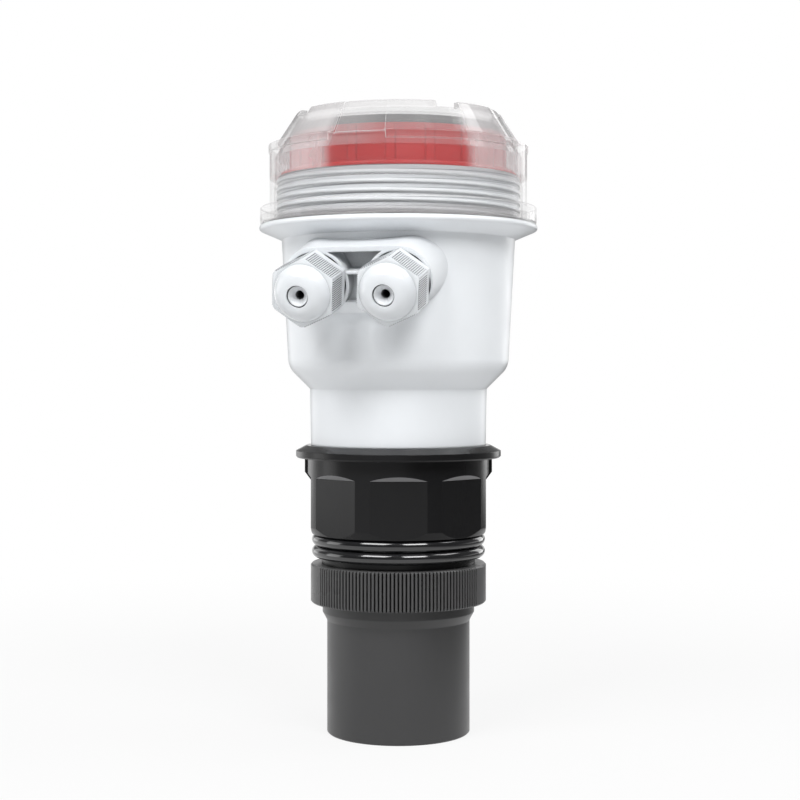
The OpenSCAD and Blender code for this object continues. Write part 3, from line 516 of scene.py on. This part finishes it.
def speckled(name, dark, light, roughness, per_mm, depth_mm):
    """A body pressed from grains: fired ceramic, or cork."""
    finish = Finish(name, dark, roughness)
    cell = finish.add("ShaderNodeTexVoronoi", {"feature": "F1"},
                      {"Vector": finish.place, "Scale": per_mm / MM})
    grain = finish.split(cell[1])[0]
    finish.set("Base Color", finish.mix(grain, dark, light))
    return finish.bump(cell, depth_mm, 0.1).material


finishes["transformer"] = taped_coil()
finishes["piezo_ceramic"] = speckled("fired_ceramic", (0.30, 0.28, 0.26), (0.42, 0.40, 0.37),
                                     roughness=0.45, per_mm=3.0, depth_mm=0.01)
finishes["cork"] = speckled("cork", (0.30, 0.19, 0.10), (0.56, 0.40, 0.24),
                            roughness=0.8, per_mm=1.2, depth_mm=0.08)
print(len(finishes), "finishes made")

# %% Put the finishes on the CAD solids
slot_of = {part["node"]: part["material_slot"] for part in frame["record"]["subparts"]}
for name, node in nodes.items():
    finish = finishes[slot_of[name]]
    if name.startswith(("gland_body", "gland_nut")):
        finish = gland_white
    if name == "knurled_ring":
        finish = knurl_black
    for place in range(max(1, len(node.data.materials))):
        if node.data.materials:
            node.data.materials[place] = finish
        else:
            node.data.materials.append(finish)
print("dressed", len(nodes), "solids")

# %% [markdown]
# ## Thread under the cover
# The clear cover screws onto the collar of the housing, and its coarse thread shows through the
# plastic. A thread is one section swept along a helix. It could be made with a Screw modifier,
# but Geometry Nodes say it more plainly: a spiral curve, a trapezoid profile, and a scale that
# lets the thread run out softly at both ends.

# %% Trees with named sizes
def new_growth(name, sizes):
    """A Geometry Nodes tree with its sizes as inputs. Returns its maker and the input wires."""
    maker = Tree(bpy.data.node_groups.new(name, "GeometryNodeTree"))
    for size, value in sizes.items():
        kind = "NodeSocketInt" if isinstance(value, int) else "NodeSocketFloat"
        socket = maker.tree.interface.new_socket(name=size, in_out="INPUT", socket_type=kind)
        socket.default_value = value
    maker.tree.interface.new_socket(name="Finish", in_out="INPUT",
                                    socket_type="NodeSocketMaterial")
    maker.tree.interface.new_socket(name="Geometry", in_out="OUTPUT",
                                    socket_type="NodeSocketGeometry")
    source = maker.add("NodeGroupInput")
    return maker, {size: source[size] for size in [*sizes, "Finish"]}


def close_growth(maker, geometry, finish):
    """Ends a tree with Realize Instances, Set Material and the output."""
    real = maker.add("GeometryNodeRealizeInstances", sockets={"Geometry": geometry})
    coated = maker.add("GeometryNodeSetMaterial", sockets={"Geometry": real, "Material": finish})
    output = maker.tree.nodes.new("NodeGroupOutput")
    maker.feed(output.inputs[0], coated)


print("the thread's sizes in mm:", {name: round(value / MM, 2) for name, value in thread.items()
                                    if name != "Turns"})

# %% From a tree to a piece
def volume(mesh):
    """Volume inside a closed mesh. It is negative where the faces point inwards."""
    total = 0.0
    mesh.calc_loop_triangles()
    for triangle in mesh.loop_triangles:
        a, b, c = [mesh.vertices[i].co for i in triangle.vertices]
        total += a.dot(b.cross(c)) / 6
    return total


def add_piece(name, mesh, body, slot):
    """Puts a mesh into the scene as a piece that rides on a body."""
    piece = bpy.data.objects.new(name, mesh)
    bpy.context.scene.collection.objects.link(piece)
    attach(piece, body)
    print(name, len(mesh.polygons), "faces,", "volume", round(volume(mesh) / MM**3, 2), "mm3")


def grow(name, maker, sizes, finish, body, slot, place=None):
    """Evaluates a tree as one plain mesh that rides on a body."""
    holder = bpy.data.objects.new(name + "_tree", bpy.data.meshes.new(name + "_tree"))
    bpy.context.scene.collection.objects.link(holder)
    modifier = holder.modifiers.new("growth", "NODES")
    modifier.node_group = maker.tree
    for item in maker.tree.interface.items_tree:
        if item.in_out == "INPUT" and item.name in sizes:
            modifier[item.identifier] = sizes[item.name]
        elif item.in_out == "INPUT" and item.name == "Finish":
            modifier[item.identifier] = finish
    graph = bpy.context.evaluated_depsgraph_get()
    mesh = bpy.data.meshes.new_from_object(holder.evaluated_get(graph))
    holder.modifiers.clear()
    bpy.data.objects.remove(holder)
    if place is not None:
        mesh.transform(place)
    add_piece(name, mesh, body, slot)


# %% The housing's thread
maker, size = new_growth("thread_growth", thread)
helix = maker.add("GeometryNodeCurveSpiral", sockets={
    "Resolution": 128, "Rotations": size["Turns"], "Start Radius": size["Root radius"],
    "End Radius": size["Root radius"], "Height": size["Turns"] * size["Pitch"]})
helix = maker.add("GeometryNodeSetCurveNormal", {"mode": "Z_UP"}, {"Curve": helix})
sink, foot, crest = -1 * size["Sink"], size["Foot width"], size["Crest width"]
corners = {"Point 1": (sink, foot * -0.5), "Point 2": (sink, foot * 0.5),
           "Point 3": (size["Depth"], crest * 0.5), "Point 4": (size["Depth"], crest * -0.5)}
profile = maker.add("GeometryNodeCurvePrimitiveQuadrilateral", {"mode": "POINTS"}, {
    corner: maker.add("ShaderNodeCombineXYZ", sockets={"X": reach, "Y": side})
    for corner, (reach, side) in corners.items()})
travel = maker.add("GeometryNodeSplineParameter")
run_out = travel.fade(0.0, 0.05) * travel.fade(1.0, 0.95)
swept = maker.add("GeometryNodeCurveToMesh", sockets={
    "Curve": helix, "Profile Curve": profile, "Scale": run_out + 0.02, "Fill Caps": True})
outwards = maker.add("GeometryNodeFlipFaces", sockets={"Mesh": swept})
lift = maker.add("ShaderNodeCombineXYZ", sockets={"Z": size["Start"]})
placed = maker.add("GeometryNodeTransform", sockets={
    "Geometry": outwards, "Translation": lift})
close_growth(maker, placed, size["Finish"])
grow("housing_thread", maker, thread, thread_white, "base", "white_plastic")

# %% [markdown]
# ## Ribs on the gland nuts
# Each flat of a gland nut carries fine ribs along the gland's axis, so that fingers grip it. A
# bump in the material could fake them, but they show along the nut's outline. One rib is a small
# bar. Geometry Nodes put a row of them on one flat and then turn that row six times round the
# axis, in the gland's own frame. The finished mesh is then laid where the CAD model has the gland.

# %% Where the glands are
gland_yaw, gland_pitch = math.radians(17.5), math.radians(16.7)
gland_reach, gland_height, gland_spacing = 42.1 * MM, 146.25 * MM, 27.2 * MM
gland_roll = math.radians(-7.3)


def gland_place(side):
    """From the gland's own frame, with Z along its axis, to the sensor's frame."""
    return (Matrix.Rotation(-gland_yaw, 4, "Z")
            @ Matrix.Translation((0, -gland_reach, gland_height))
            @ Matrix.Rotation(math.radians(90) + gland_pitch, 4, "X")
            @ Matrix.Translation((side * gland_spacing / 2, 0, 0)))


print("gland axes start at", [tuple(round(v / MM, 1) for v in gland_place(s).translation)
                              for s in (-1, 1)])

# %% Ribs
ribs = {"Flat distance": 9.5 * MM, "Row width": 9.4 * MM, "Ribs": 15, "Rib width": 0.34 * MM,
        "Rib height": 0.30 * MM, "Rib length": 8.6 * MM, "Foot": 3.4 * MM, "Flats": 6}
maker, size = new_growth("rib_growth", ribs)
bar_size = maker.add("ShaderNodeCombineXYZ", sockets={
    "X": size["Rib height"] * 2, "Y": size["Rib width"], "Z": size["Rib length"]})
bar = maker.add("GeometryNodeMeshCube", sockets={"Size": bar_size})
step = maker.add("ShaderNodeCombineXYZ", sockets={"Y": size["Row width"] / (size["Ribs"] - 1)})
first = maker.add("ShaderNodeCombineXYZ", sockets={
    "X": size["Flat distance"], "Y": size["Row width"] * -0.5,
    "Z": size["Foot"] + size["Rib length"] * 0.5})
row = maker.add("GeometryNodeMeshLine", sockets={
    "Count": size["Ribs"], "Start Location": first, "Offset": step})
bars = maker.add("GeometryNodeInstanceOnPoints", sockets={"Points": row, "Instance": bar})
flats = maker.add("GeometryNodeMeshLine", sockets={"Count": size["Flats"],
                                                   "Offset": (0.0, 0.0, 0.0)})
index = maker.add("GeometryNodeInputIndex")
turn = maker.add("ShaderNodeCombineXYZ", sockets={"Z": index * (2 * math.pi) / size["Flats"]})
spun = maker.add("GeometryNodeInstanceOnPoints", sockets={
    "Points": flats, "Instance": bars, "Rotation": turn})
close_growth(maker, spun, size["Finish"])
flat_turn = Matrix.Rotation(gland_roll, 4, "Z")
for side, name in ((-1, "left"), (1, "right")):
    grow("gland_ribs_" + name, maker, ribs, gland_white, "nut_" + name, "white_plastic",
         gland_place(side) @ flat_turn)

# %% [markdown]
# ## What the display shows
# The glass shows a distance in seven-segment numbers, with a bar graph of the level below it, and
# each key has a raised sign. Font objects could write the numbers, but a real display switches
# fixed bars on and off, so the numbers are built from the bars that are on. All of them are thin
# closed plates that are cut from flat outlines.

# %% Flat plates from outlines
def plates(name, outlines, low, high, finish, body, slot):
    """One mesh of closed plates. Each outline is a list of (x, y) in mm, counter-clockwise."""
    points, faces = [], []
    for outline in outlines:
        first, count = len(points), len(outline)
        points += [(x * MM, y * MM, z * MM) for z in (low, high) for x, y in outline]
        faces.append([first + i for i in reversed(range(count))])
        faces.append([first + count + i for i in range(count)])
        for i in range(count):
            j = (i + 1) % count
            faces.append([first + i, first + j, first + count + j, first + count + i])
    mesh = bpy.data.meshes.new(name)
    mesh.from_pydata(points, [], faces)
    mesh.materials.append(finish)
    add_piece(name, mesh, body, slot)


def bar(x, y, length, width, upright=False):
    """A segment with pointed ends, round its middle at x, y."""
    a, b = length / 2, width / 2
    outline = [(-a, 0), (b - a, -b), (a - b, -b), (a, 0), (a - b, b), (b - a, b)]
    return [(x - v, y + u) if upright else (x + u, y + v) for u, v in outline]


def block(x, y, wide, deep):
    """A rectangle round its middle at x, y."""
    return [(x + i * wide / 2, y + j * deep / 2) for i, j in ((-1, -1), (1, -1), (1, 1), (-1, 1))]


print("plates ready")

# %% Numbers and bar graph
bars_on = {"1": "bc", "2": "abdeg", "4": "bcfg", "8": "abcdefg"}
digit_wide, digit_high, stroke, pitch, line_y = 4.6, 9.4, 1.1, 7.4, 9.2
half = digit_high / 4
edge = digit_wide / 2
spots = {"a": (0, 2 * half, False), "b": (edge, half, True), "c": (edge, -half, True),
         "d": (0, -2 * half, False), "e": (-edge, -half, True), "f": (-edge, half, True),
         "g": (0, 0, False)}
shown = []
for place, digit in enumerate("1284"):
    digit_x = (place - 1.5) * pitch
    for spot in bars_on[digit]:
        x, y, upright = spots[spot]
        shown.append(bar(digit_x + x, line_y + y, 2 * half if upright else digit_wide,
                         stroke, upright))
point_wide, point_deep = 1.0, 1.1
shown.append(block(-pitch, line_y - 2 * half, point_wide, point_deep))
level_bars, bar_step, level_y, bar_wide, bar_deep = 7, 3.4, 0.4, 2.6, 2.2
shown += [block((i - 4.5) * bar_step, level_y, bar_wide, bar_deep) for i in range(level_bars)]
lcd_ink = moulded("lcd_ink", (0.02, 0.03, 0.035), 0.4, grain_mm=0.001, edge_mm=0)
glass_z = 196.42, 196.52
plates("lcd_digits", shown, *glass_z, lcd_ink, "base", "lcd")

# %% Signs on the keys
sign_white = moulded("key_sign", (0.72, 0.74, 0.75), 0.45, grain_mm=0.004, edge_mm=0.05)
key_y, key_x = -16, 15
reach, line = 1.2, 0.6
signs = {
    "set": [block(-key_x, key_y - reach, 3, line), block(-key_x, key_y + reach, 3, line),
            block(-key_x - reach, key_y, line, 1.8), block(-key_x + reach, key_y, line, 1.8)],
    "up": [[(-1.7, key_y - 1.1), (1.7, key_y - 1.1), (0, key_y + 1.7)]],
    "down": [[(key_x - 1.7, key_y + 1.1), (key_x, key_y - 1.7), (key_x + 1.7, key_y + 1.1)]]}
sign_z = 199.70, 199.90
for key, outlines in signs.items():
    plates(key + "_sign", outlines, *sign_z, sign_white, key + "_key", "key_rubber")

# %% [markdown]
# ## Floor and backdrop
# The picture is a studio shot on white. The floor is pale and the world stands in for the
# backdrop. Strong lamps could make both white, but they would burn out the white housing. So the
# white comes from what the camera sees there: the floor turns into a plain white glow away from
# the sensor, and near it keeps the soft shadow at the sensor's foot.

# %% Floor
def white_ground(name, near, far):
    """A pale floor that keeps a shadow up to near metres away and is plain white beyond far.
    Reflections see its right side dark, as if a black flag stood there."""
    finish = Finish(name, (0.62, 0.62, 0.62), 0.8, Specular_IOR_Level=0.1)
    rays = finish.add("ShaderNodeLightPath")
    seen = rays["Is Camera Ray"] + rays["Is Glossy Ray"] + rays["Is Transmission Ray"]
    seen = seen.math("MINIMUM", seen, 1.0)
    away = finish.add("ShaderNodeVectorMath", {"operation": "LENGTH"}, {0: finish.place}, out=1)
    flagged = rays["Is Glossy Ray"] * finish.split(finish.place)[0].fade(0.03, 0.25)
    finish.set("Base Color", finish.mix(flagged, finish.colour, (0.05, 0.05, 0.05)))
    seen = seen * (1 - 0.9 * flagged)
    glow = finish.add("ShaderNodeEmission", sockets={"Color": (1, 1, 1, 1), "Strength": 1.0})
    both = finish.add("ShaderNodeMixShader", sockets={
        "Fac": seen * away.fade(near, far, 0.85, 1.0), 1: Wire(finish, finish.shader), 2: glow})
    finish.feed(finish.tree.nodes["Material Output"].inputs["Surface"], both)
    return finish.material


floor_mesh = bpy.data.meshes.new("floor")
span = 3.0
floor_mesh.from_pydata([(-span, -span, 0), (span, -span, 0), (span, span, 0), (-span, span, 0)],
                       [], [(0, 1, 2, 3)])
floor = bpy.data.objects.new("floor", floor_mesh)
floor_mesh.materials.append(white_ground("pale_floor", 0.10, 0.45))
bpy.context.scene.collection.objects.link(floor)
floor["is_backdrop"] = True
print("floor reaches", span, "m each way")

# %% [markdown]
# ## Light
# The world is a studio room: bright behind the sensor, so that glossy edges are traced in white,
# and dim to the front. To the camera and through the clear cover it is plain white. Lamps are
# soft boxes about 50 degrees above the sensor: that is where the O-rings get their long
# highlights from, while the wrench flats stay dark. A low strip on the left lights one flat.

# %% World
world = bpy.data.worlds.new("studio")
bpy.context.scene.world = world
world.use_nodes = True
sky = Tree(world.node_tree)
rays = sky.add("ShaderNodeLightPath")
# look is the direction of a ray: x to the right, y to the back, z up.
look = sky.add("ShaderNodeSeparateXYZ", sockets={0: sky.add("ShaderNodeTexCoord")})
behind = look[1].fade(-0.2, 0.8)
upper_right = look[2].fade(0.15, 0.5) * look[0].fade(-0.1, 0.4)
flanks = look[2].fade(0.03, 0.15) * abs(look[0]).fade(0.04, 0.15)
room = (0.12 + 0.70 * behind * (1 - 0.75 * upper_right) * (1 - 0.75 * flanks)
        + 0.10 * look[2].fade(0.0, 0.9))
white = (rays["Is Camera Ray"] + rays["Is Transmission Ray"]
         + rays["Is Glossy Ray"] * behind * (1 - flanks))
white = white.math("MINIMUM", white, 1.0)
background = world.node_tree.nodes["Background"]
background.inputs["Color"].default_value = (1, 1, 1, 1)
unlit = 0.25 * rays["Is Glossy Ray"] * flanks
sky.feed(background.inputs["Strength"], (room + white * (1 - room)) * (1 - unlit))
print("world ready")


# %% Lamps
def lamp(name, azimuth, height, away, power, width, tall):
    """A rectangular soft box, with its power in watts and its sizes in metres. Azimuth 0 is the
    front, and 90 is the right."""
    data = bpy.data.lights.new(name, "AREA")
    data.shape, data.size, data.size_y, data.energy = "RECTANGLE", width, tall, power
    obj = bpy.data.objects.new(name, data)
    turn = math.radians(azimuth)
    obj.location = (away * math.sin(turn), -away * math.cos(turn), height)
    aim = middle - obj.location
    obj.rotation_euler = aim.to_track_quat("-Z", "Y").to_euler()
    bpy.context.scene.collection.objects.link(obj)


middle = Vector((0, 0, 0.11))
# name, azimuth, height, away, power, width, tall
lamp("key", -38, 0.95, 0.8, 9.2, 0.65, 0.45)
lamp("front_fill", 26, 0.9, 0.85, 8.1, 0.55, 0.4)
lamp("right_fill", 95, 1.0, 0.75, 2.9, 0.55, 0.4)
lamp("left_side", -95, 0.15, 0.9, 1.5, 0.4, 0.6)
lamp("left_rim", -142, 0.3, 0.9, 0.5, 0.3, 0.6)
lamp("right_rim", 142, 0.3, 0.9, 1.2, 0.3, 0.6)
lamp("top", 80, 1.15, 0.12, 1.2, 0.5, 0.5)

# %% [markdown]
# ## Finish
# The last cell prints the size of the dressed model, so that it can be compared with the size
# of the CAD model that the first cell prints.

# %% Sizes and finish
visual_box = [list(corner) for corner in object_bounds()]
print("visual box in mm:", [[round(v / MM, 2) for v in corner] for corner in visual_box])
